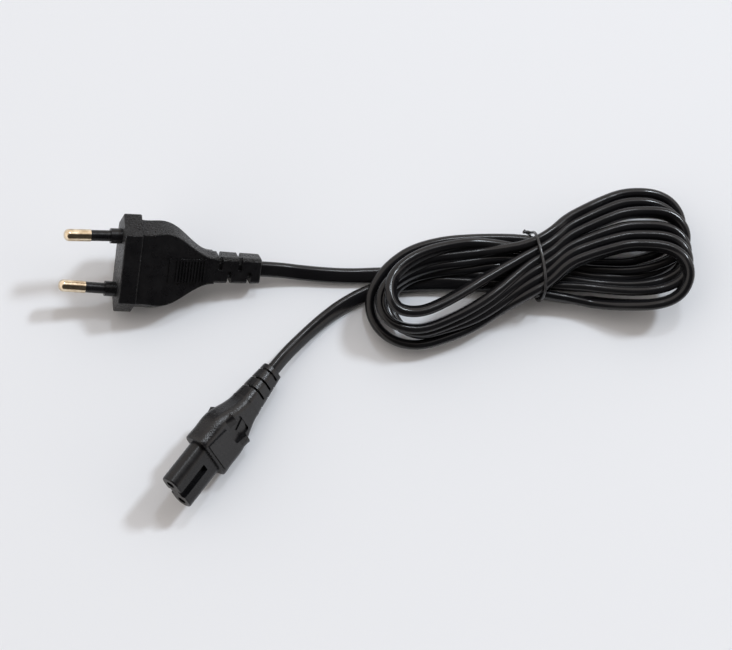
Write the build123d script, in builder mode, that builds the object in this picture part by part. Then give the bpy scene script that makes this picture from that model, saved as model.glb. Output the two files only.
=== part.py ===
from build123d import *
import math
import os

# Two-core mains lead: a flat two-pin plug, a hank of flat cable held by a wire tie, and a figure-eight connector.
# Millimetres, +Z up, lying on the plane Z = 0. The origin is on that plane, under the middle of plug and connector.

# How each moulding lies: where its front is, then heading, dive of the cable end and roll, in degrees
plug_face_place = (-16.80, 32.80, 13.96)
plug_heading, plug_dive, plug_roll = 0.0, 10.2, 34.0
nose_face_place = (1.47, -43.11, 12.16)
nose_heading, nose_dive, nose_roll = 52.05, 7.0, 49.3

# Flat cable
cable_width = 5.2
cable_thickness = 3.2
core_radius = 1.05
conductor_radius = 0.55
core_offset = 1.25
core_bend = 3.0

# Plug moulding, lengths counted from its face towards the cable
rim_depth = 6.0
rim_half_width = 17.2
rim_flat_half = 11.8
rim_half_height = 6.6
body_half_width = 15.3
body_sections = 9
body_slant = 3.2
body_half_height = 6.0
body_taper_start = 13.0
body_taper_end = 31.6
body_end_half_width = 5.3
body_end_half_height = 4.4
body_end_slant = 0.8
neck_half_width = 4.7
neck_half_height = 3.8
neck_at = 30.6
plug_length = 47.4
tail_half_width = 4.4
tail_half_height = 3.5
tail_corner = 1.5
tail_wall = 0.9
tail_slot_width = 1.35
tail_slot_pitch = 3.35
tail_slot_first = 32.8
tail_slots = 4
tail_slot_inset = 0.2
tail_slot_reach = 9.4
grip_half_width = 4.2
grip_frame_at = 15.9
grip_first = 18.4
grip_pitch = 1.03
grip_ridges = 10
grip_ridge_width = 0.5
grip_ridge_height = 0.5
grip_rail_width = 0.5
grip_rail_height = 0.42
moulding_fillet = 0.5

# Plug pins and the hard carrier they stand in
pin_base_spacing = 18.6
pin_tip_spacing = 17.5
pin_reach = 19.0
pin_radius = 2.0
pin_bare_length = 8.8
pin_dome = 1.7
pin_shank_radius = 1.5
sleeve_radius = 1.8
collar_radius = 2.5
collar_length = 3.7
carrier_front = 1.2
carrier_back = 9.0
carrier_half_width = 12.6
carrier_half_height = 3.6
carrier_corner = 2.0
barrel_gap = 0.5
barrel_radius = 1.7
barrel_length = 5.0
plug_core_turn = 17.0
plug_core_gather = 26.0
plug_strip_end = 15.5
plug_cable_start = 28.5

# Connector: hard nose, lengths counted from its front face towards the cable
socket_spacing = 8.6
nose_width = 15.3
nose_thickness = 6.7
nose_length = 15.6
groove_width = 2.8
groove_depth = 1.6
groove_length = 12.2
entry_radius = 1.45
entry_depth = 1.6
tenon_width = 14.3
tenon_thickness = 5.7
tenon_end = 24.0
contact_radius = 1.7
contact_bore_radius = 1.2
contact_bore_end = 13.0
contact_neck_radius = 1.1
contact_neck_end = 17.0
contact_crimp_radius = 1.4
contact_end = 22.0
contact_crimp_depth = 4.0

# Connector moulding
hood_half_width = 9.2
hood_half_height = 4.7
hood_sections = 8
hood_corner = 3.0
hood_taper_start = 24.2
hood_taper_end = 38.4
sleeve_start = 36.9
sleeve_half_width = 4.8
sleeve_half_height = 4.1
sleeve_corner = 2.4
connector_length = 52.8
end_half_width = 3.7
end_half_height = 2.8
plate_front_half = 6.2
plate_back_half = 4.8
plate_start = 16.6
plate_end = 25.0
plate_height = 0.5
scoop_gap = 0.3
scoop_length = 6.9
scoop_corner = 0.8
scoop_half_width = 3.6
scoop_depth = 1.0
scoop_rib_width = 3.0
scoop_rib_length = 4.0
scoop_rib_height = 0.4
lip_half_width = 7.0
lip_start = 25.6
lip_apex = 29.5
lip_end = 30.2
lip_height = 1.1
lip_sink = 0.3
sleeve_slot_width = 0.8
sleeve_slot_pitch = 3.95
sleeve_slot_first = 42.4
sleeve_slots = 3
sleeve_slot_overlap = 1.5
sleeve_slot_inset = 2.2
sleeve_slot_reach = 9.6
sleeve_slot_core_wall = 0.6
nose_core_turn = 24.5
nose_core_gather = 30.0
nose_strip_end = 23.2
nose_cable_start = 32.5

# Hank of cable and its wire tie
hank_height = 24.0
hank_pinch = 18.0
hank_outline_reach = 80.0
hank_end_margin = 5.0
hank_waist_top = 15.0
hank_waist_bottom = 1.9
tie_wire_radius = 0.55
tie_gap = 0.25
tie_place = (123.5, 33.5)
tie_heading = 4.0
tie_half_width = 11.5
tie_notch_width = 46.0
tie_notch_height = 72.0
waist_corner = 2.0

# Route of the free cable: centre points chosen by hand, from each moulding to just inside the hank
plug_lead_route = [
    (35.9, 32.8, 4.5),
    (43.8, 32.2, 2.8),
    (53.9, 31.4, 2.3),
    (62.2, 31.2, 2.3),
    (70.8, 31.6, 2.3),
    (77.4, 32.3, 2.3),
]
nose_lead_route = [
    (37.4, 2.9, 5.2),
    (44.1, 9.7, 3.3),
    (50.5, 15.6, 2.6),
    (57.1, 20.6, 2.6),
    (64.1, 24.5, 2.6),
    (71.0, 27.1, 2.6),
]

# Outline of the hank seen from above, chosen by hand: far side, right end, near side, left end
hank_outline = [
    (66.6, 30.1),
    (76.4, 39.4),
    (90.6, 44.1),
    (106.8, 44.7),
    (123.0, 45.3),
    (139.7, 54.1),
    (156.2, 61.7),
    (169.8, 60.5),
    (175.7, 48.1),
    (177.2, 33.7),
    (170.7, 21.3),
    (154.2, 17.3),
    (136.8, 19.7),
    (123.4, 21.9),
    (107.1, 11.7),
    (89.8, 3.3),
    (75.6, 2.7),
    (65.6, 9.1),
    (62.6, 19.5),
]


def lying_frame(place, heading, dive, roll):
    """Plane at a moulding's front: X across its width, Y through its thickness, Z towards the cable."""
    turn, tip, lean = math.radians(heading), math.radians(dive), math.radians(roll)
    along = Vector(math.cos(turn) * math.cos(tip), math.sin(turn) * math.cos(tip), -math.sin(tip))
    level = Vector(-math.sin(turn), math.cos(turn), 0)
    upright = along.cross(level)
    across = level * math.cos(lean) + upright * math.sin(lean)
    return Plane(origin=place, x_dir=across, z_dir=along)


def eased(at, start, end, first, last):
    """Goes from first to last between start and end along a half cosine."""
    share = min(max((at - start) / (end - start), 0), 1)
    return last + (first - last) * (1 + math.cos(math.pi * share)) / 2


def hexagon_points(half_width, flat_half, half_height):
    """Corners of the plug's flat six-sided section."""
    return [
        (half_width, 0),
        (flat_half, half_height),
        (-flat_half, half_height),
        (-half_width, 0),
        (-flat_half, -half_height),
        (flat_half, -half_height),
    ]


def largest_radii(route):
    """Radius of each corner's arc: 0.45 of the shorter run over the tangent of half the turn."""
    radii = []
    for before, corner, after in zip(route, route[1:], route[2:]):
        run_in = Vector(*corner) - Vector(*before)
        run_out = Vector(*after) - Vector(*corner)
        half_turn = math.radians(run_in.get_angle(run_out)) / 2
        radii.append(0.45 * min(run_in.length, run_out.length) / math.tan(half_turn))
    return radii


plug = lying_frame(plug_face_place, plug_heading, plug_dive, plug_roll)
nose = lying_frame(nose_face_place, nose_heading, nose_dive, nose_roll)

plug_axis = Axis(plug.origin, plug.z_dir)
nose_axis = Axis(nose.origin, nose.z_dir)
plug_exit = plug.from_local_coords(Vector(0, 0, plug_length))
nose_exit = nose.from_local_coords(Vector(0, 0, connector_length))

os.makedirs("parts", exist_ok=True)

# Wires inside the plug: each conductor runs from its pin's barrel to the cable, its insulation from the strip
pin_lean = math.asin((pin_base_spacing - pin_tip_spacing) / 2 / pin_reach)
sides = {"far": 1, "near": -1}
pin_planes = {}
plug_wires = {}
for name, side in sides.items():
    base = plug.from_local_coords(Vector(side * pin_base_spacing / 2, 0, 0))
    direction = plug.z_dir * math.cos(pin_lean) + plug.x_dir * (side * math.sin(pin_lean))
    pin_planes[name] = Plane(origin=base, x_dir=plug.y_dir, z_dir=direction)
    turn = pin_planes[name].from_local_coords(Vector(0, 0, plug_core_turn))
    gather = plug.from_local_coords(Vector(side * core_offset, 0, plug_core_gather))
    cable = plug.from_local_coords(Vector(side * core_offset, 0, plug_cable_start))
    barrel = pin_planes[name].from_local_coords(Vector(0, 0, carrier_back + barrel_gap))
    strip = pin_planes[name].from_local_coords(Vector(0, 0, plug_strip_end))
    with BuildPart() as conductor:
        with BuildLine() as run:
            FilletPolyline(barrel, turn, gather, cable, radius=core_bend)
        with BuildSketch(Plane(origin=barrel, z_dir=run.line % 0)):
            Circle(conductor_radius)
        sweep(path=run.line)
    with BuildPart() as core:
        with BuildLine() as run:
            FilletPolyline(strip, turn, gather, cable, radius=core_bend)
        with BuildSketch(Plane(origin=strip, z_dir=run.line % 0)):
            Circle(core_radius)
        sweep(path=run.line)
        add(conductor.part, mode=Mode.SUBTRACT)
    plug_wires[name] = [conductor.part, core.part]
    conductor.part.label = f"plug_conductor_{name}"
    export_step(conductor.part, f"parts/plug_conductor_{name}.step")
    core.part.label = f"plug_core_{name}"
    export_step(core.part, f"parts/plug_core_{name}.step")

# Pins: a bare round-nosed end, a thinner shank in the sleeve and a barrel crimped on the conductor
pins = []
for name, plane in pin_planes.items():
    bare_start = plane.offset(-pin_reach)
    shank_start = plane.offset(pin_bare_length - pin_reach)
    with BuildPart() as pin:
        with BuildSketch(bare_start):
            Circle(pin_radius)
        extrude(amount=pin_bare_length)
        fillet(pin.edges().sort_by(Axis(plane.origin, plane.z_dir))[0], radius=pin_dome)
        with BuildSketch(shank_start):
            Circle(pin_shank_radius)
        extrude(amount=pin_reach - pin_bare_length + carrier_back + barrel_gap)
        with BuildSketch(plane.offset(carrier_back + barrel_gap)):
            Circle(barrel_radius)
        extrude(amount=barrel_length)
        add(plug_wires[name][0], mode=Mode.SUBTRACT)
    pins.append(pin.part)
    pin.part.label = f"pin_{name}"
    export_step(pin.part, f"parts/pin_{name}.step")

# Pin carrier: one hard moulding with a bridge inside the plug, and a collar and sleeve on each pin
with BuildPart() as pin_carrier:
    with BuildSketch(plug.offset(carrier_front)):
        RectangleRounded(2 * carrier_half_width, 2 * carrier_half_height, carrier_corner)
    extrude(amount=carrier_back - carrier_front)
    for plane in pin_planes.values():
        with BuildSketch(plane.offset(pin_bare_length - pin_reach)):
            Circle(sleeve_radius)
        extrude(amount=pin_reach - pin_bare_length + (carrier_front + carrier_back) / 2)
        with BuildSketch(plane.offset(-collar_length)):
            Circle(collar_radius)
        extrude(amount=collar_length + (carrier_front + carrier_back) / 2)
    for pin_part in pins:
        add(pin_part, mode=Mode.SUBTRACT)
pin_carrier.part.label = "pin_carrier"
export_step(pin_carrier.part, "parts/pin_carrier.step")

# End of the flat cable inside the plug's tail
with BuildPart() as plug_cable_end:
    with BuildSketch(plug.offset(plug_cable_start)):
        SlotOverall(cable_width, cable_thickness)
    extrude(amount=plug_length - plug_cable_start)
plug_cable_end.part.label = "plug_cable_end"
export_step(plug_cable_end.part, "parts/plug_cable_end.step")

# Slots of the plug's tail: cut from alternate sides, down to a wall round the cable
with BuildPart() as tail_cuts:
    for index in range(tail_slots):
        side = 1 if index % 2 == 0 else -1
        with BuildSketch(plug.offset(tail_slot_first + tail_slot_pitch * index)):
            with Locations((side * (tail_slot_reach / 2 + tail_slot_inset), 0)):
                Rectangle(tail_slot_reach, 2 * tail_slot_reach)
        extrude(amount=tail_slot_width)
    with BuildSketch(plug.offset(neck_at)):
        SlotOverall(cable_width + 2 * tail_wall, cable_thickness + 2 * tail_wall)
    extrude(amount=plug_length - neck_at, mode=Mode.SUBTRACT)

# Plug body: a six-sided rim, a body that narrows in an S to the tail, grip ridges and a slotted tail
with BuildPart() as plug_body:
    with BuildSketch(plug):
        Polygon(*hexagon_points(rim_half_width, rim_flat_half, rim_half_height), align=None)
    extrude(amount=rim_depth)
    fillet(plug_body.edges(), radius=moulding_fillet)
    for step in range(body_sections):
        at = rim_depth / 2 + (body_taper_end - rim_depth / 2) * step / (body_sections - 1)
        half_width = eased(at, body_taper_start, body_taper_end, body_half_width, body_end_half_width)
        slant = eased(at, rim_depth, body_taper_end, body_slant, body_end_slant)
        half_height = eased(at, rim_depth, body_taper_end, body_half_height, body_end_half_height)
        with BuildSketch(plug.offset(at)) as section:
            Polygon(*hexagon_points(half_width, half_width - slant, half_height), align=None)
            fillet(section.vertices(), radius=moulding_fillet)
    loft()
    ridges_at = [grip_frame_at] + [grip_first + grip_pitch * index for index in range(grip_ridges)]
    for index, at in enumerate(ridges_at):
        half_height = eased(at, rim_depth, body_taper_end, body_half_height, body_end_half_height)
        with BuildSketch(plug.offset(at)):
            Rectangle(2 * grip_half_width, 2 * (half_height + grip_ridge_height))
        extrude(amount=grip_ridge_width)
        if index > 0:
            with BuildSketch(plug.offset(ridges_at[index - 1])):
                with Locations((grip_half_width - grip_rail_width, 0)):
                    Rectangle(grip_rail_width, 2 * (half_height + grip_rail_height))
            extrude(amount=at - ridges_at[index - 1] + grip_ridge_width / 2)
    with BuildSketch(plug.offset(neck_at)):
        RectangleRounded(2 * neck_half_width, 2 * neck_half_height, tail_corner)
    with BuildSketch(plug.offset(plug_length)):
        RectangleRounded(2 * tail_half_width, 2 * tail_half_height, tail_corner)
    loft()
    fillet(plug_body.faces().sort_by(plug_axis)[-1].edges(), radius=moulding_fillet)
    add(tail_cuts.part, mode=Mode.SUBTRACT)
    for inner in [pin_carrier.part, plug_cable_end.part, *pins, *plug_wires["far"], *plug_wires["near"]]:
        add(inner, mode=Mode.SUBTRACT)
plug_body.part.label = "plug_body"
export_step(plug_body.part, "parts/plug_body.step")

# Wires inside the connector
rows = {"upper": 1, "lower": -1}
nose_wires = {}
for name, side in rows.items():
    offset = side * socket_spacing / 2
    crimp = nose.from_local_coords(Vector(offset, 0, contact_end - contact_crimp_depth))
    strip = nose.from_local_coords(Vector(offset, 0, nose_strip_end))
    turn = nose.from_local_coords(Vector(offset, 0, nose_core_turn))
    gather = nose.from_local_coords(Vector(side * core_offset, 0, nose_core_gather))
    cable = nose.from_local_coords(Vector(side * core_offset, 0, nose_cable_start))
    with BuildPart() as conductor:
        with BuildLine() as run:
            FilletPolyline(crimp, turn, gather, cable, radius=core_bend)
        with BuildSketch(Plane(origin=crimp, z_dir=run.line % 0)):
            Circle(conductor_radius)
        sweep(path=run.line)
    with BuildPart() as core:
        with BuildLine() as run:
            FilletPolyline(strip, turn, gather, cable, radius=core_bend)
        with BuildSketch(Plane(origin=strip, z_dir=run.line % 0)):
            Circle(core_radius)
        sweep(path=run.line)
        add(conductor.part, mode=Mode.SUBTRACT)
    nose_wires[name] = [conductor.part, core.part]
    conductor.part.label = f"connector_conductor_{name}"
    export_step(conductor.part, f"parts/connector_conductor_{name}.step")
    core.part.label = f"connector_core_{name}"
    export_step(core.part, f"parts/connector_core_{name}.step")

# Contacts: a round socket, a solid neck and a crimp barrel
contacts = []
for name, side in rows.items():
    offset = side * socket_spacing / 2
    with BuildPart() as contact:
        with BuildSketch(nose.offset(entry_depth)):
            with Locations((offset, 0)):
                Circle(contact_radius)
        extrude(amount=contact_bore_end + contact_radius - contact_bore_radius - entry_depth)
        with BuildSketch(nose.offset(contact_bore_end)):
            with Locations((offset, 0)):
                Circle(contact_neck_radius)
        extrude(amount=contact_neck_end - contact_bore_end)
        with BuildSketch(nose.offset(contact_neck_end)):
            with Locations((offset, 0)):
                Circle(contact_crimp_radius)
        extrude(amount=contact_end - contact_neck_end)
        with BuildSketch(nose.offset(entry_depth)):
            with Locations((offset, 0)):
                Circle(contact_bore_radius)
        extrude(amount=contact_bore_end - entry_depth, mode=Mode.SUBTRACT)
        add(nose_wires[name][0], mode=Mode.SUBTRACT)
    contacts.append(contact.part)
    contact.part.label = f"contact_{name}"
    export_step(contact.part, f"parts/contact_{name}.step")

# Nose block: a hard nose with a groove down each flat side and two sockets, and a tenon inside the hood
with BuildPart() as nose_block:
    with BuildSketch(nose):
        SlotOverall(nose_width, nose_thickness)
    extrude(amount=nose_length)
    fillet(nose_block.faces().sort_by(nose_axis)[0].edges(), radius=moulding_fillet)
    with BuildSketch(nose.offset(nose_length)):
        SlotOverall(tenon_width, tenon_thickness)
    extrude(amount=tenon_end - nose_length)
    with BuildSketch(nose):
        for side in (1, -1):
            with Locations((0, side * nose_thickness / 2)):
                Rectangle(groove_width, 2 * groove_depth)
    extrude(amount=groove_length, mode=Mode.SUBTRACT)
    with BuildSketch(nose):
        with GridLocations(socket_spacing, 0, 2, 1):
            Circle(entry_radius)
    extrude(amount=entry_depth, mode=Mode.SUBTRACT)
    with BuildSketch(nose.offset(entry_depth)):
        with GridLocations(socket_spacing, 0, 2, 1):
            Circle(contact_radius)
    extrude(amount=tenon_end - entry_depth, mode=Mode.SUBTRACT)
nose_block.part.label = "nose_block"
export_step(nose_block.part, "parts/nose_block.step")

# End of the flat cable inside the connector's sleeve
with BuildPart() as connector_cable_end:
    with BuildSketch(nose.offset(nose_cable_start)):
        SlotOverall(cable_width, cable_thickness)
    extrude(amount=connector_length - nose_cable_start)
connector_cable_end.part.label = "connector_cable_end"
export_step(connector_cable_end.part, "parts/connector_cable_end.step")

# Slots of the connector's sleeve: long ones on one edge, shorter ones half a pitch on from the other
with BuildPart() as sleeve_cuts:
    for index in range(sleeve_slots):
        long_at = sleeve_slot_first + sleeve_slot_pitch * index
        with BuildSketch(nose.offset(long_at)):
            with Locations((sleeve_slot_reach / 2 - sleeve_slot_overlap, 0)):
                Rectangle(sleeve_slot_reach, 2 * sleeve_slot_reach)
        extrude(amount=sleeve_slot_width)
        with BuildSketch(nose.offset(long_at - sleeve_slot_pitch / 2)):
            with Locations((-sleeve_slot_reach / 2 - sleeve_slot_inset, 0)):
                Rectangle(sleeve_slot_reach, 2 * sleeve_slot_reach)
        extrude(amount=sleeve_slot_width)
    core_width = cable_width + 2 * sleeve_slot_core_wall
    core_thickness = cable_thickness + 2 * sleeve_slot_core_wall
    with BuildSketch(nose.offset(hood_taper_end)):
        SlotOverall(core_width, core_thickness)
    extrude(amount=connector_length - hood_taper_end, mode=Mode.SUBTRACT)

# Lips of the hood: a wedge across each broad side that rises towards the cable, then drops
with BuildPart() as hood_lips:
    for at, height in [(lip_start, -lip_sink), (lip_apex, lip_height), (lip_end, -lip_sink)]:
        half_width = eased(at, hood_taper_start, hood_taper_end, hood_half_width, sleeve_half_width)
        half_height = eased(at, hood_taper_start, hood_taper_end, hood_half_height, sleeve_half_height)
        corner = eased(at, hood_taper_start, hood_taper_end, hood_corner, sleeve_corner)
        with BuildSketch(nose.offset(at)):
            RectangleRounded(2 * (half_width + height), 2 * (half_height + height), corner + height)
    loft(ruled=True)
    with BuildSketch(nose.offset(lip_start)):
        Rectangle(2 * lip_half_width, 2 * hood_half_width)
    extrude(amount=lip_end - lip_start, mode=Mode.INTERSECT)

# Connector body: a hood with a raised plate, a lip and a finger scoop, narrowing to a slotted sleeve
hood_side = Plane(origin=nose.origin, x_dir=nose.x_dir, z_dir=-nose.y_dir)
scoop_end = plate_end + scoop_gap + scoop_length
with BuildPart() as connector_body:
    for step in range(hood_sections):
        at = nose_length + (hood_taper_end - nose_length) * step / (hood_sections - 1)
        half_width = eased(at, hood_taper_start, hood_taper_end, hood_half_width, sleeve_half_width)
        half_height = eased(at, hood_taper_start, hood_taper_end, hood_half_height, sleeve_half_height)
        corner = eased(at, hood_taper_start, hood_taper_end, hood_corner, sleeve_corner)
        with BuildSketch(nose.offset(at)):
            RectangleRounded(2 * half_width, 2 * half_height, corner)
    loft()
    fillet(connector_body.faces().sort_by(nose_axis)[0].edges(), radius=moulding_fillet)
    with BuildSketch(nose.offset(sleeve_start)):
        RectangleRounded(2 * sleeve_half_width, 2 * sleeve_half_height, sleeve_corner)
    with BuildSketch(nose.offset(connector_length)):
        RectangleRounded(2 * end_half_width, 2 * end_half_height, sleeve_corner)
    loft()
    with BuildSketch(hood_side):
        Polygon(
            (-plate_front_half, plate_start),
            (plate_front_half, plate_start),
            (plate_back_half, plate_end),
            (-plate_back_half, plate_end),
            align=None,
        )
    extrude(amount=hood_half_height + plate_height, both=True)
    add(hood_lips.part)
    for side in (1, -1):
        floor = hood_side.offset(side * (hood_half_height - scoop_depth))
        with BuildSketch(floor):
            with Locations((0, scoop_end - scoop_length / 2)):
                RectangleRounded(2 * scoop_half_width, scoop_length, scoop_corner)
        extrude(amount=side * hood_half_height, mode=Mode.SUBTRACT)
        with BuildSketch(floor):
            Polygon(
                (-scoop_rib_width / 2, scoop_end + scoop_rib_height),
                (scoop_rib_width / 2, scoop_end + scoop_rib_height),
                (0, scoop_end - scoop_rib_length),
                align=None,
            )
        extrude(amount=side * scoop_rib_height)
    add(sleeve_cuts.part, mode=Mode.SUBTRACT)
    inner_parts = [nose_block.part, connector_cable_end.part, *contacts, *nose_wires["upper"], *nose_wires["lower"]]
    for inner in inner_parts:
        add(inner, mode=Mode.SUBTRACT)
connector_body.part.label = "connector_body"
export_step(connector_body.part, "parts/connector_body.step")

# Course of the wire tie round the hank's waist, upright and across the bundle
waist_height = hank_waist_top - hank_waist_bottom
tie_stand_off = tie_gap + tie_wire_radius
tie_turn = math.radians(tie_heading)
tie_plane = Plane(
    origin=(*tie_place, (hank_waist_top + hank_waist_bottom) / 2),
    x_dir=(math.sin(tie_turn), math.cos(tie_turn), 0),
    z_dir=(math.cos(tie_turn), -math.sin(tie_turn), 0),
)
with BuildSketch(tie_plane) as tie_course:
    RectangleRounded(
        2 * (tie_half_width + tie_stand_off),
        waist_height + 2 * tie_stand_off,
        waist_corner + tie_stand_off,
    )
tie_path = tie_course.sketch.face().outer_wire()
tie_section = Plane(origin=tie_path @ 0, z_dir=tie_path % 0)

# Hank: the outer shape of all the turns, pinched where the tie holds it
waist = tie_place[0]
hank_start = min(x for x, _ in hank_outline) - hank_end_margin
hank_end = max(x for x, _ in hank_outline) + hank_end_margin
with BuildPart() as cord_hank:
    with BuildSketch():
        with BuildLine():
            Spline(*hank_outline, periodic=True)
        make_face()
    extrude(amount=hank_height)
    with BuildSketch(Plane.XZ):
        with BuildLine():
            under = Polyline((waist + hank_pinch, 0), (hank_end, 0), (hank_end, hank_height))
            over = Spline(
                under @ 1,
                (waist + hank_pinch, (hank_height + hank_waist_top) / 2),
                (waist, hank_waist_top),
                (waist - hank_pinch, (hank_height + hank_waist_top) / 2),
                (hank_start, hank_height),
            )
            back = Polyline(over @ 1, (hank_start, 0), (waist - hank_pinch, 0))
            ThreePointArc(back @ 1, (waist, hank_waist_bottom), under @ 0)
        make_face()
    extrude(amount=-hank_outline_reach, mode=Mode.INTERSECT)
    with BuildSketch(tie_plane):
        Rectangle(tie_notch_width, tie_notch_height)
        RectangleRounded(2 * tie_half_width, waist_height, waist_corner, mode=Mode.SUBTRACT)
    extrude(amount=tie_stand_off, both=True, mode=Mode.SUBTRACT)
cord_hank.part.label = "cord_hank"
export_step(cord_hank.part, "parts/cord_hank.step")

# Leads: flat cable from each moulding to the hank, on straight runs joined by tangent arcs
leads = {
    "cord_to_plug": [tuple(plug_exit), *plug_lead_route],
    "cord_to_connector": [tuple(nose_exit), *nose_lead_route],
}
lead_planes = {
    "cord_to_plug": plug.offset(plug_length),
    "cord_to_connector": nose.offset(connector_length),
}
for name, route in leads.items():
    radii = largest_radii(route)
    print(name, "radii", [round(radius, 1) for radius in radii])
    with BuildPart() as lead:
        with BuildLine() as run:
            FilletPolyline(*route, radius=radii)
        with BuildSketch(lead_planes[name]) as section:
            SlotOverall(cable_width, cable_thickness)
        sweep(path=run.line)
        length = run.wire().length
        print(name, "length", round(length, 1), "volume", round(lead.part.volume, 1))
        print(name, "section times length", round(section.sketch.area * length, 1))
        add(cord_hank.part, mode=Mode.SUBTRACT)
    lead.part.label = name
    export_step(lead.part, f"parts/{name}.step")

# Wire tie: one turn round the hank's waist
with BuildPart() as hank_tie:
    with BuildSketch(tie_section):
        Circle(tie_wire_radius)
    sweep(path=tie_path)
hank_tie.part.label = "hank_tie"
export_step(hank_tie.part, "parts/hank_tie.step")
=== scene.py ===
import math

import bpy
from mathutils import Matrix, Vector


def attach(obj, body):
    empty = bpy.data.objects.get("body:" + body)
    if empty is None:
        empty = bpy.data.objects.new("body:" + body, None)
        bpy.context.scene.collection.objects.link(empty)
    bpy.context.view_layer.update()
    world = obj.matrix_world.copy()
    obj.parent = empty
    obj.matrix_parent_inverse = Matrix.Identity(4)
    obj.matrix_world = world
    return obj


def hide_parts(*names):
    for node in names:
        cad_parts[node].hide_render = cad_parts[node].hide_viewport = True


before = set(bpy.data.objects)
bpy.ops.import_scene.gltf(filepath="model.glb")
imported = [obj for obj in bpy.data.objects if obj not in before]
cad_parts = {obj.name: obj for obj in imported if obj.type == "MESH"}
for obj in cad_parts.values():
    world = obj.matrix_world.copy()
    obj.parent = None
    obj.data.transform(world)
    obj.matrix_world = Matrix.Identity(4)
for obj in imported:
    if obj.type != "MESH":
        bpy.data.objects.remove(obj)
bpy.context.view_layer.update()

MM = 0.001

# Camera: above the part, leaning a little to its left and front, with the photograph's framing
TARGET = Vector((65.9, 14.9, 0.0)) * MM
LEAN_LEFT = math.radians(6.5)
LEAN_FRONT = math.radians(12.0)
CAMERA_DISTANCE = 900.0 * MM
SENSOR_WIDTH = 36.0
VIEW_WIDTH = 244.9 * MM
CAMERA_CLIP = (0.05, 20.0)

# Flat two-core cable. All sizes and places of the cable and the tie are in mm.
CABLE_WIDTH = 5.2
CABLE_THICKNESS = 3.2

# Free cable, from the plug's tail to the tie and from the tie to the connector's sleeve, and the
# degrees that its wide side tips from upright to the left of travel at each point
PLUG_LEAD = [
    (29.4, 32.8, 5.65),
    (35.9, 32.8, 4.5),
    (43.8, 32.2, 2.8),
    (53.9, 31.4, 2.3),
    (62.2, 31.2, 2.3),
    (70.8, 31.6, 2.3),
    (80.9, 31.8, 2.6),
    (93.0, 31.3, 2.9),
    (106.1, 30.8, 3.8),
]
PLUG_LEAD_LEAN = [60, 60, 60, 60, 60, 55, 45, 30, 10]
CONNECTOR_LEAD = [
    (106.1, 27.8, 3.6),
    (93.0, 28.8, 2.8),
    (80.9, 28.8, 2.2),
    (71.0, 27.1, 2.0),
    (64.1, 24.5, 2.0),
    (57.1, 20.6, 2.4),
    (50.5, 15.6, 2.6),
    (44.1, 9.7, 3.3),
    (37.4, 2.9, 5.2),
    (33.4, -2.2, 5.8),
]
CONNECTOR_LEAD_LEAN = [-20, -50, -75, -80, -70, -55, -42, -38, -38, -38]

# Tie: where it holds the hank, and the two layers and six rows of cable inside it
TIE_PLACE = (123.5, 33.5)
TIE_HEADING = math.radians(4.0)
ROW_PITCH = 3.45
ROWS = 6
LAYER_HEIGHT = {"upper": 11.0, "lower": 5.4}
LAYER_SLOPE = {"upper": math.radians(29.0), "lower": math.radians(-16.0)}
PASS_HALF = 4.0

# Innermost and outermost course of the lobes on each side, from the tie round the end and back
LEFT_INNER = [
    (106.0, 29.0),
    (98.5, 24.5),
    (91.0, 20.5),
    (84.5, 17.5),
    (79.5, 17.5),
    (76.0, 19.5),
    (75.5, 23.0),
    (77.0, 27.0),
    (81.0, 29.5),
    (86.5, 31.0),
    (93.5, 32.0),
    (101.0, 32.5),
    (108.5, 34.0),
]
LEFT_OUTER = [
    (109.5, 18.5),
    (101.0, 13.0),
    (92.0, 9.5),
    (83.5, 7.0),
    (76.5, 7.9),
    (70.9, 11.2),
    (67.4, 16.6),
    (66.8, 22.8),
    (69.3, 28.8),
    (74.0, 34.4),
    (81.0, 39.3),
    (90.5, 42.0),
    (100.5, 43.0),
]
RIGHT_INNER = [
    (133.5, 49.0),
    (140.0, 52.5),
    (147.0, 56.0),
    (153.5, 58.5),
    (160.5, 59.0),
    (166.0, 58.4),
    (170.5, 56.3),
    (173.4, 52.3),
    (173.9, 47.5),
    (171.9, 43.2),
    (167.7, 40.2),
    (162.0, 37.8),
    (155.0, 36.0),
    (147.5, 36.0),
    (140.0, 36.0),
]
RIGHT_OUTER = [
    (133.5, 33.0),
    (140.0, 35.5),
    (147.0, 37.5),
    (153.5, 39.0),
    (160.5, 39.0),
    (166.0, 38.3),
    (170.2, 36.2),
    (172.9, 32.4),
    (173.4, 27.8),
    (171.4, 23.4),
    (167.5, 20.8),
    (161.5, 19.6),
    (154.5, 20.0),
    (146.5, 21.0),
    (138.5, 22.5),
]
COURSES = {"left": (LEFT_INNER, LEFT_OUTER), "right": (RIGHT_INNER, RIGHT_OUTER)}

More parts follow.
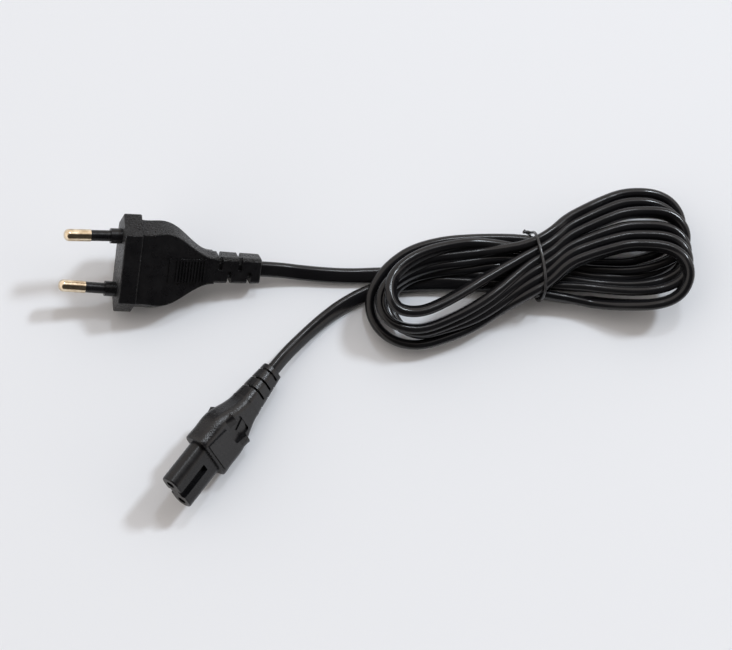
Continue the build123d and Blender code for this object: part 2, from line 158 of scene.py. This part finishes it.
# Each lobe of the wound cable in its order from the plug. First the pass through the tie that leads
# to it, by layer and row, then its side and whether it runs backwards, then how it changes from the
# way out over its end to the way back, in evenly spaced values: its share from the innermost to the
# outermost course, its height and its outward lean.
LOBES = [
    ("lower", 4, "right", True, (0.80, 0.82, 0.78, 0.74, 0.70), (12, 13, 14, 11, 7), (15, 20, 10)),
    ("upper", 4, "left", False, (0.90, 0.72, 0.15, 0.0, 0.0), (8, 6, 4, 4, 5), (10, 10, 10)),
    ("lower", 3, "right", True, (0.63, 0.64, 0.60, 0.56, 0.54), (11, 12, 12, 8, 5), (15, 25, 10)),
    ("upper", 3, "left", False, (0.73, 0.70, 0.45, 0.22, 0.18), (10, 8, 7, 7, 7), (10, 15, 15)),
    ("lower", 2, "right", True, (0.20, 0.19, 0.25, 0.34, 0.37), (10, 9, 6, 4, 4), (20, 25, 10)),
    ("upper", 1, "left", False, (0.0, 0.08, 0.38, 0.64, 0.72), (12, 15, 17, 14, 11), (25, 35, 25)),
    ("lower", 1, "right", True, (0.40, 0.39, 0.33, 0.25, 0.20), (11, 12, 11, 7, 4), (10, 20, 10)),
    ("upper", 2, "left", False, (0.56, 0.60, 0.72, 0.48, 0.38), (12, 11, 10, 10, 9), (15, 25, 30)),
    ("upper", 0, "right", False, (0.0, 0.0, 0.0, 0.0, 0.0), (10, 7, 4, 3, 3), (15, 20, 10)),
    ("lower", 0, "left", True, (1.0, 1.0, 1.0, 1.0, 1.0), (5, 4, 3, 4, 5), (20, 15, 20)),
    ("upper", 5, "right", False, (1.0, 1.0, 1.0, 1.0, 1.0), (13, 15, 16, 11, 4), (20, 15, 40)),
]
LAST_PASS = ("lower", 5)

# Wire of the tie, from one twisted end over the cable, under it and up to the other end
TIE_WIRE = [
    (119.4, 45.4, 6.6),
    (120.6, 46.2, 4.8),
    (122.0, 45.6, 5.2),
    (122.4, 44.9, 9.5),
    (122.5, 42.6, 13.6),
    (123.2, 38.7, 14.9),
    (124.3, 32.5, 15.2),
    (124.8, 26.6, 14.9),
    (124.7, 23.0, 12.6),
    (124.4, 21.9, 8.0),
    (123.8, 22.3, 3.2),
    (123.4, 24.9, 1.5),
    (123.0, 31.0, 1.4),
    (122.6, 38.0, 1.4),
    (122.2, 43.6, 1.6),
    (122.0, 46.0, 3.2),
    (120.8, 45.2, 5.6),
    (119.6, 46.4, 5.4),
]
TIE_RADIUS = 0.5

# Detail of the swept cable and wire
SPAN_STEPS = 10
ARC_STEPS = 7
WIRE_STEPS = 12

# Ways that the broad sides of the plug and the connector face, the cosines to such a way between
# which the grain fades, and the share of it that is left there
PLUG_BROAD_WAY = (0.147, -0.559, 0.816)
NOSE_BROAD_WAY = (0.647, -0.403, 0.647)
BROAD_EDGE = (0.86, 0.97)
BROAD_GRAIN = 0.10

# Part of a noise texture's range that a change of roughness or of colour uses
ROUGHNESS_SPAN = (0.3, 0.7)
COLOUR_SPAN = (0.35, 0.65)

# Floor and what the camera sees past it
FLOOR_HALF = 2.5
FLOOR_COLOUR = (0.81, 0.83, 0.86)
BACKDROP_COLOUR = (0.80, 0.81, 0.84)

# Light panels: heading and elevation in degrees, width in metres and power in watts
PANELS = {
    "key": (41.0, 46.0, 0.55, 64.0),
    "back": (78.0, 58.0, 0.45, 20.0),
}
PANEL_DISTANCE = 4.0
PANEL_COLOUR = (0.92, 1.0, 1.09)

# Light of the room: even, but for a dark part in front and overhead, whose edge is given as cosines
ROOM_LIGHT = (1.12, 1.04, 0.98)
DARK_WAY = (0.2, -0.6, 0.77)
DARK_LEVEL = 0.05
DARK_EDGE = (0.56, 0.76)


def eased(values, place):
    """Value at a place from 0 to 1 among evenly spaced values, with no corner at any of them."""
    spans = len(values) - 1
    span = min(int(place * spans), spans - 1)
    share = place * spans - span
    share = share * share * (3 - 2 * share)
    return values[span] + (values[span + 1] - values[span]) * share


def lobe_stations(side, shares, heights, leans):
    """Points (x, y, height, lean) of one lobe, from its first run round the end to its second."""
    inner, outer = COURSES[side]
    stations = []
    for index, (near, far) in enumerate(zip(inner, outer)):
        place = index / (len(inner) - 1)
        share = eased(shares, place)
        x = near[0] + (far[0] - near[0]) * share
        y = near[1] + (far[1] - near[1]) * share
        stations.append((x, y, eased(heights, place), eased(leans, place)))
    return stations


def tie_stations(layer, row, rightwards):
    """Points of one straight pass through the tie."""
    off = ((ROWS - 1) / 2 - row) * ROW_PITCH
    x = TIE_PLACE[0] + off * math.sin(TIE_HEADING)
    y = TIE_PLACE[1] + off * math.cos(TIE_HEADING)
    rise = PASS_HALF * math.tan(LAYER_SLOPE[layer])
    left = (x - PASS_HALF, y - rise, LAYER_HEIGHT[layer], 0)
    right = (x + PASS_HALF, y + rise, LAYER_HEIGHT[layer], 0)
    return [left, right] if rightwards else [right, left]


def cord_stations():
    """Every control point (x, y, z, lean) of the cable, in mm and degrees, from plug to connector."""
    stations = [(*point, lean) for point, lean in zip(PLUG_LEAD, PLUG_LEAD_LEAN)]
    for layer, row, side, backwards, shares, heights, leans in LOBES:
        stations += tie_stations(layer, row, side == "right")
        lobe = lobe_stations(side, shares, heights, leans)
        if backwards:
            lobe = [(x, y, z, -lean) for x, y, z, lean in reversed(lobe)]
        stations += lobe
    stations += tie_stations(*LAST_PASS, False)
    stations += [(*point, lean) for point, lean in zip(CONNECTOR_LEAD, CONNECTOR_LEAD_LEAN)]
    return stations


def nurbs_line(name, points, steps):
    """Points along an order 3 NURBS with these control points, read from the finished curve."""
    data = bpy.data.curves.new(name, "CURVE")
    data.dimensions = "3D"
    data.resolution_u = steps
    spline = data.splines.new("NURBS")
    spline.points.add(len(points) - 1)
    for made, point in zip(spline.points, points):
        made.co = (*point, 1.0)
    spline.order_u = 3
    spline.use_endpoint_u = True
    curve = bpy.data.objects.new(name, data)
    bpy.context.collection.objects.link(curve)
    bpy.context.view_layer.update()
    mesh = bpy.data.meshes.new_from_object(curve)
    line = [vertex.co.copy() for vertex in mesh.vertices]
    bpy.data.objects.remove(curve)
    bpy.data.meshes.remove(mesh)
    bpy.data.curves.remove(data)
    return line


def oval_section(width, thickness, steps):
    """Outline (across, through) of a flat cable with round sides."""
    radius = thickness / 2
    flat = width / 2 - radius
    outline = []
    for side in (1, -1):
        for step in range(steps + 1):
            turn = math.pi * (step / steps - 0.5)
            outline.append((side * (flat + radius * math.cos(turn)), side * radius * math.sin(turn)))
    return outline


def round_section(radius, steps):
    """Outline of a round wire."""
    turns = [2 * math.pi * step / steps for step in range(steps)]
    return [(radius * math.cos(turn), radius * math.sin(turn)) for turn in turns]


def swept_mesh(name, line, leans, section, up=(0, 0, 1)):
    """Closed tube along a line. Its wide side stands along up, tipped by the lean to the left of travel."""
    up = Vector(up)
    vertices, faces = [], []
    size = len(section)
    for index, point in enumerate(line):
        ahead = line[min(index + 1, len(line) - 1)] - line[max(index - 1, 0)]
        along = ahead.normalized()
        side = up.cross(along).normalized()
        upright = along.cross(side)
        lean = math.radians(leans[index])
        wide = upright * math.cos(lean) + side * math.sin(lean)
        thin = along.cross(wide)
        vertices += [point + wide * a + thin * t for a, t in section]
    for ring in range(len(line) - 1):
        for step in range(size):
            a, b = ring * size + step, ring * size + (step + 1) % size
            faces.append((a, b, b + size, a + size))
    last = (len(line) - 1) * size
    faces.append(tuple(range(size - 1, -1, -1)))
    faces.append(tuple(range(last, last + size)))
    mesh = bpy.data.meshes.new(name)
    mesh.from_pydata(vertices, [], faces)
    mesh.polygons.foreach_set("use_smooth", [True] * len(faces))
    mesh.update()
    piece = bpy.data.objects.new(name, mesh)
    bpy.context.collection.objects.link(piece)
    return piece


def station_leans(stations, count):
    """Lean at each of the points read from the NURBS, from those of its control points."""
    leans = []
    for index in range(count):
        place = index / (count - 1) * (len(stations) - 1)
        low = min(int(place), len(stations) - 2)
        share = place - low
        leans.append(stations[low][3] * (1 - share) + stations[low + 1][3] * share)
    return leans


# Materials


def new_material(name, colour, roughness, metallic=0.0, reflection=0.5):
    """A material, its tree and its shader, with the shader's constant values set."""
    material = bpy.data.materials.new(name)
    material.use_nodes = True
    tree = material.node_tree
    shader = tree.nodes["Principled BSDF"]
    shader.inputs["Base Color"].default_value = (*colour, 1.0)
    shader.inputs["Roughness"].default_value = roughness
    shader.inputs["Metallic"].default_value = metallic
    shader.inputs["Specular IOR Level"].default_value = reflection
    material.diffuse_color = (*colour, 1.0)
    return material, tree, shader


def noise(tree, scale, detail=3.0, stretch=(1.0, 1.0, 1.0)):
    """A noise texture in the part's own metres."""
    place = tree.nodes.new("ShaderNodeTexCoord")
    mapping = tree.nodes.new("ShaderNodeMapping")
    mapping.inputs["Scale"].default_value = stretch
    texture = tree.nodes.new("ShaderNodeTexNoise")
    texture.inputs["Scale"].default_value = scale
    texture.inputs["Detail"].default_value = detail
    tree.links.new(place.outputs["Object"], mapping.inputs["Vector"])
    tree.links.new(mapping.outputs["Vector"], texture.inputs["Vector"])
    return texture


def map_range(tree, value, source, target):
    """A node whose result goes from end to end of target while the value does so along source."""
    spread = tree.nodes.new("ShaderNodeMapRange")
    spread.inputs["From Min"].default_value = source[0]
    spread.inputs["From Max"].default_value = source[1]
    spread.inputs["To Min"].default_value = target[0]
    spread.inputs["To Max"].default_value = target[1]
    tree.links.new(value, spread.inputs["Value"])
    return spread


def along_way(tree, direction, way):
    """How far a direction goes along a way: its cosine."""
    toward = tree.nodes.new("ShaderNodeVectorMath")
    toward.operation = "DOT_PRODUCT"
    toward.inputs[1].default_value = way
    tree.links.new(direction, toward.inputs[0])
    return toward.outputs["Value"]


def vary_roughness(tree, shader, texture, low, high):
    """Roughness that goes from low to high with a texture."""
    spread = map_range(tree, texture.outputs["Fac"], ROUGHNESS_SPAN, (low, high))
    tree.links.new(spread.outputs["Result"], shader.inputs["Roughness"])


def vary_colour(tree, shader, texture, dark, light):
    """Base colour that goes from dark to light with a texture."""
    ramp = tree.nodes.new("ShaderNodeValToRGB")
    ramp.color_ramp.elements[0].position = COLOUR_SPAN[0]
    ramp.color_ramp.elements[0].color = (*dark, 1.0)
    ramp.color_ramp.elements[1].position = COLOUR_SPAN[1]
    ramp.color_ramp.elements[1].color = (*light, 1.0)
    tree.links.new(texture.outputs["Fac"], ramp.inputs["Fac"])
    tree.links.new(ramp.outputs["Color"], shader.inputs["Base Color"])


def add_bump(tree, shader, textures):
    """Bumps in a row, each from a texture with its height in metres. Gives back the last one."""
    normal = None
    for texture, height in textures:
        bump = tree.nodes.new("ShaderNodeBump")
        bump.inputs["Distance"].default_value = height
        tree.links.new(texture.outputs["Fac"], bump.inputs["Height"])
        if normal:
            tree.links.new(normal, bump.inputs["Normal"])
        normal = bump.outputs["Normal"]
    tree.links.new(normal, shader.inputs["Normal"])
    return bump


def cable_material():
    """Extruded glossy sheath, a little uneven."""
    material, tree, shader = new_material("sheath", (0.006, 0.006, 0.007), 0.22, reflection=0.36)
    vary_colour(tree, shader, noise(tree, 60, 2), (0.005, 0.005, 0.006), (0.009, 0.009, 0.010))
    vary_roughness(tree, shader, noise(tree, 180, 3), 0.16, 0.24)
    add_bump(tree, shader, [(noise(tree, 140, 2), 0.00012), (noise(tree, 1500, 3), 0.000010)])
    return material


def fade_grain(tree, grain, broad_way):
    """Weakens a bump where the surface faces along a way or straight against it."""
    surface = tree.nodes.new("ShaderNodeNewGeometry")
    either_side = tree.nodes.new("ShaderNodeMath")
    either_side.operation = "ABSOLUTE"
    tree.links.new(along_way(tree, surface.outputs["Normal"], broad_way), either_side.inputs[0])
    spread = map_range(tree, either_side.outputs["Value"], BROAD_EDGE, (1.0, BROAD_GRAIN))
    tree.links.new(spread.outputs["Result"], grain.inputs["Strength"])


def moulding_material(name, grain_scale, grain_height, low, high, broad_way):
    """Soft black moulding with a spark-eroded grain, which is weak on its broad sides."""
    material, tree, shader = new_material(name, (0.005, 0.005, 0.006), 0.45, reflection=0.45)
    vary_colour(tree, shader, noise(tree, 220, 3), (0.003, 0.003, 0.004), (0.006, 0.006, 0.007))
    vary_roughness(tree, shader, noise(tree, 400, 3), low, high)
    grain = add_bump(tree, shader, [(noise(tree, grain_scale, 4), grain_height)])
    fade_grain(tree, grain, broad_way)
    return material


def hard_plastic_material():
    """Smooth hard black plastic."""
    material, tree, shader = new_material("hard_plastic", (0.005, 0.005, 0.006), 0.26, reflection=0.32)
    vary_colour(tree, shader, noise(tree, 150, 2), (0.004, 0.004, 0.005), (0.007, 0.007, 0.008))
    vary_roughness(tree, shader, noise(tree, 500, 3), 0.22, 0.32)
    add_bump(tree, shader, [(noise(tree, 900, 3), 0.00002)])
    return material


def plated_material(name, dark, light, low, high):
    """Drawn and plated metal with fine marks."""
    material, tree, shader = new_material(name, light, low, 1.0)
    vary_colour(tree, shader, noise(tree, 500, 3), dark, light)
    vary_roughness(tree, shader, noise(tree, 1400, 4), low, high)
    add_bump(tree, shader, [(noise(tree, 2600, 3, (0.15, 1.0, 1.0)), 0.000012)])
    return material


def plain_plastic_material(name, dark, light):
    """Smooth coloured insulation."""
    material, tree, shader = new_material(name, light, 0.4)
    vary_colour(tree, shader, noise(tree, 300, 2), dark, light)
    vary_roughness(tree, shader, noise(tree, 700, 3), 0.35, 0.5)
    return material


def tie_material():
    """Black coated wire with a sharp gloss."""
    material, tree, shader = new_material("tie_coat", (0.02, 0.02, 0.022), 0.14)
    vary_colour(tree, shader, noise(tree, 400, 2), (0.016, 0.016, 0.018), (0.026, 0.026, 0.028))
    vary_roughness(tree, shader, noise(tree, 900, 3), 0.10, 0.20)
    return material


def dress_nodes(cable, wire):
    """Gives each carried-over solid its material."""
    plug_grain = moulding_material("plug_moulding", 1500, 0.00120, 0.24, 0.36, PLUG_BROAD_WAY)
    connector_grain = moulding_material("connector_moulding", 1900, 0.00014, 0.24, 0.34, NOSE_BROAD_WAY)
    hard = hard_plastic_material()
    nickel = plated_material("nickel_plate", (0.58, 0.46, 0.32), (0.84, 0.72, 0.54), 0.12, 0.22)
    tin = plated_material("tinned_brass", (0.55, 0.44, 0.24), (0.74, 0.61, 0.36), 0.22, 0.36)
    copper = plated_material("copper_strands", (0.60, 0.30, 0.18), (0.78, 0.42, 0.26), 0.3, 0.45)
    brown = plain_plastic_material("brown_core", (0.13, 0.055, 0.022), (0.17, 0.075, 0.032))
    blue = plain_plastic_material("blue_core", (0.015, 0.085, 0.36), (0.024, 0.11, 0.45))
    chosen = {
        "plug_body": plug_grain,
        "connector_body": connector_grain,
        "pin_carrier": hard,
        "nose_block": hard,
        "pin_far": nickel,
        "pin_near": nickel,
        "contact_upper": tin,
        "contact_lower": tin,
        "plug_conductor_far": copper,
        "plug_conductor_near": copper,
        "connector_conductor_upper": copper,
        "connector_conductor_lower": copper,
        "plug_core_far": brown,
        "plug_core_near": blue,
        "connector_core_upper": brown,
        "connector_core_lower": blue,
        "plug_cable_end": cable,
        "connector_cable_end": cable,
        "cord_to_plug": cable,
        "cord_to_connector": cable,
        "cord_hank": cable,
        "hank_tie": wire,
    }
    for name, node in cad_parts.items():
        node.data.materials.clear()
        node.data.materials.append(chosen[name])


def make_tie(material):
    """The thin wire that holds the hank."""
    line = nurbs_line("tie_line", [Vector(point) * MM for point in TIE_WIRE], SPAN_STEPS)
    section = round_section(TIE_RADIUS * MM, WIRE_STEPS)
    tie = swept_mesh("wire_tie", line, [0] * len(line), section, (1, 0, 0))
    tie.data.materials.append(material)
    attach(tie, "root")
    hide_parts("hank_tie")
    return tie


def make_cord(material, tie):
    """The whole cable as one tube from the plug's tail to the connector's sleeve."""
    stations = cord_stations()
    line = nurbs_line("cord_line", [Vector(station[:3]) * MM for station in stations], SPAN_STEPS)
    leans = station_leans(stations, len(line))
    section = oval_section(CABLE_WIDTH * MM, CABLE_THICKNESS * MM, ARC_STEPS)
    cord = swept_mesh("cord", line, leans, section)
    cord.data.materials.append(material)
    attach(cord, "root")
    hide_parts("cord_to_plug", "cord_hank", "cord_to_connector")


# Floor, light and camera


def make_floor():
    """Pale floor that fills the view and takes the shadow."""
    half = FLOOR_HALF
    mesh = bpy.data.meshes.new("floor")
    corners = [(-half, -half, 0), (half, -half, 0), (half, half, 0), (-half, half, 0)]
    mesh.from_pydata(corners, [], [(0, 1, 2, 3)])
    mesh.materials.append(new_material("floor_paper", FLOOR_COLOUR, 0.9, reflection=0.1)[0])
    floor = bpy.data.objects.new("floor", mesh)
    bpy.context.collection.objects.link(floor)


def add_panel(name, heading, elevation, size, energy):
    """A round light panel that faces the part from a heading and an elevation."""
    turn, tip = math.radians(heading), math.radians(elevation)
    way = Vector((math.cos(tip) * math.cos(turn), math.cos(tip) * math.sin(turn), math.sin(tip)))
    data = bpy.data.lights.new(name, "AREA")
    data.shape = "DISK"
    data.size = size
    data.energy = energy
    data.color = PANEL_COLOUR
    panel = bpy.data.objects.new(name, data)
    panel.location = TARGET + way * PANEL_DISTANCE
    panel.rotation_euler = (-way).to_track_quat("-Z", "Y").to_euler()
    bpy.context.collection.objects.link(panel)


def make_room():
    """Light from all round, dark in front and overhead, with a pale backdrop for the camera."""
    world = bpy.data.worlds.new("studio")
    bpy.context.scene.world = world
    world.use_nodes = True
    tree = world.node_tree
    place = tree.nodes.new("ShaderNodeTexCoord")
    toward = along_way(tree, place.outputs["Generated"], DARK_WAY)
    level = map_range(tree, toward, DARK_EDGE, (1.0, DARK_LEVEL))
    level.interpolation_type = "SMOOTHSTEP"
    fill = tree.nodes["Background"]
    fill.inputs["Color"].default_value = (*ROOM_LIGHT, 1.0)
    tree.links.new(level.outputs["Result"], fill.inputs["Strength"])
    seen = tree.nodes.new("ShaderNodeBackground")
    seen.inputs["Color"].default_value = (*BACKDROP_COLOUR, 1.0)
    seen.inputs["Strength"].default_value = 1.0
    path = tree.nodes.new("ShaderNodeLightPath")
    mix = tree.nodes.new("ShaderNodeMixShader")
    tree.links.new(path.outputs["Is Camera Ray"], mix.inputs["Fac"])
    tree.links.new(fill.outputs["Background"], mix.inputs[1])
    tree.links.new(seen.outputs["Background"], mix.inputs[2])
    tree.links.new(mix.outputs["Shader"], tree.nodes["World Output"].inputs["Surface"])


def make_camera():
    """Looks down on the part from the photograph's angle."""
    data = bpy.data.cameras.new("camera")
    data.sensor_width = SENSOR_WIDTH
    data.lens = SENSOR_WIDTH * CAMERA_DISTANCE / VIEW_WIDTH
    data.clip_start, data.clip_end = CAMERA_CLIP
    camera = bpy.data.objects.new("camera", data)
    left, front = math.sin(LEAN_LEFT), math.sin(LEAN_FRONT)
    back = Vector((-left, -front, math.sqrt(1 - left * left - front * front)))
    right = (Vector((1, 0, 0)) + back * left).normalized()
    camera.location = TARGET + back * CAMERA_DISTANCE
    camera.rotation_euler = Matrix((right, back.cross(right), back)).transposed().to_euler()
    bpy.context.collection.objects.link(camera)
    bpy.context.scene.camera = camera


sheath = cable_material()
tie_coat = tie_material()
dress_nodes(sheath, tie_coat)
make_cord(sheath, make_tie(tie_coat))
make_floor()
for panel_name, facts in PANELS.items():
    add_panel(panel_name, *facts)
make_room()
make_camera()
bpy.context.scene.view_settings.view_transform = "Standard"
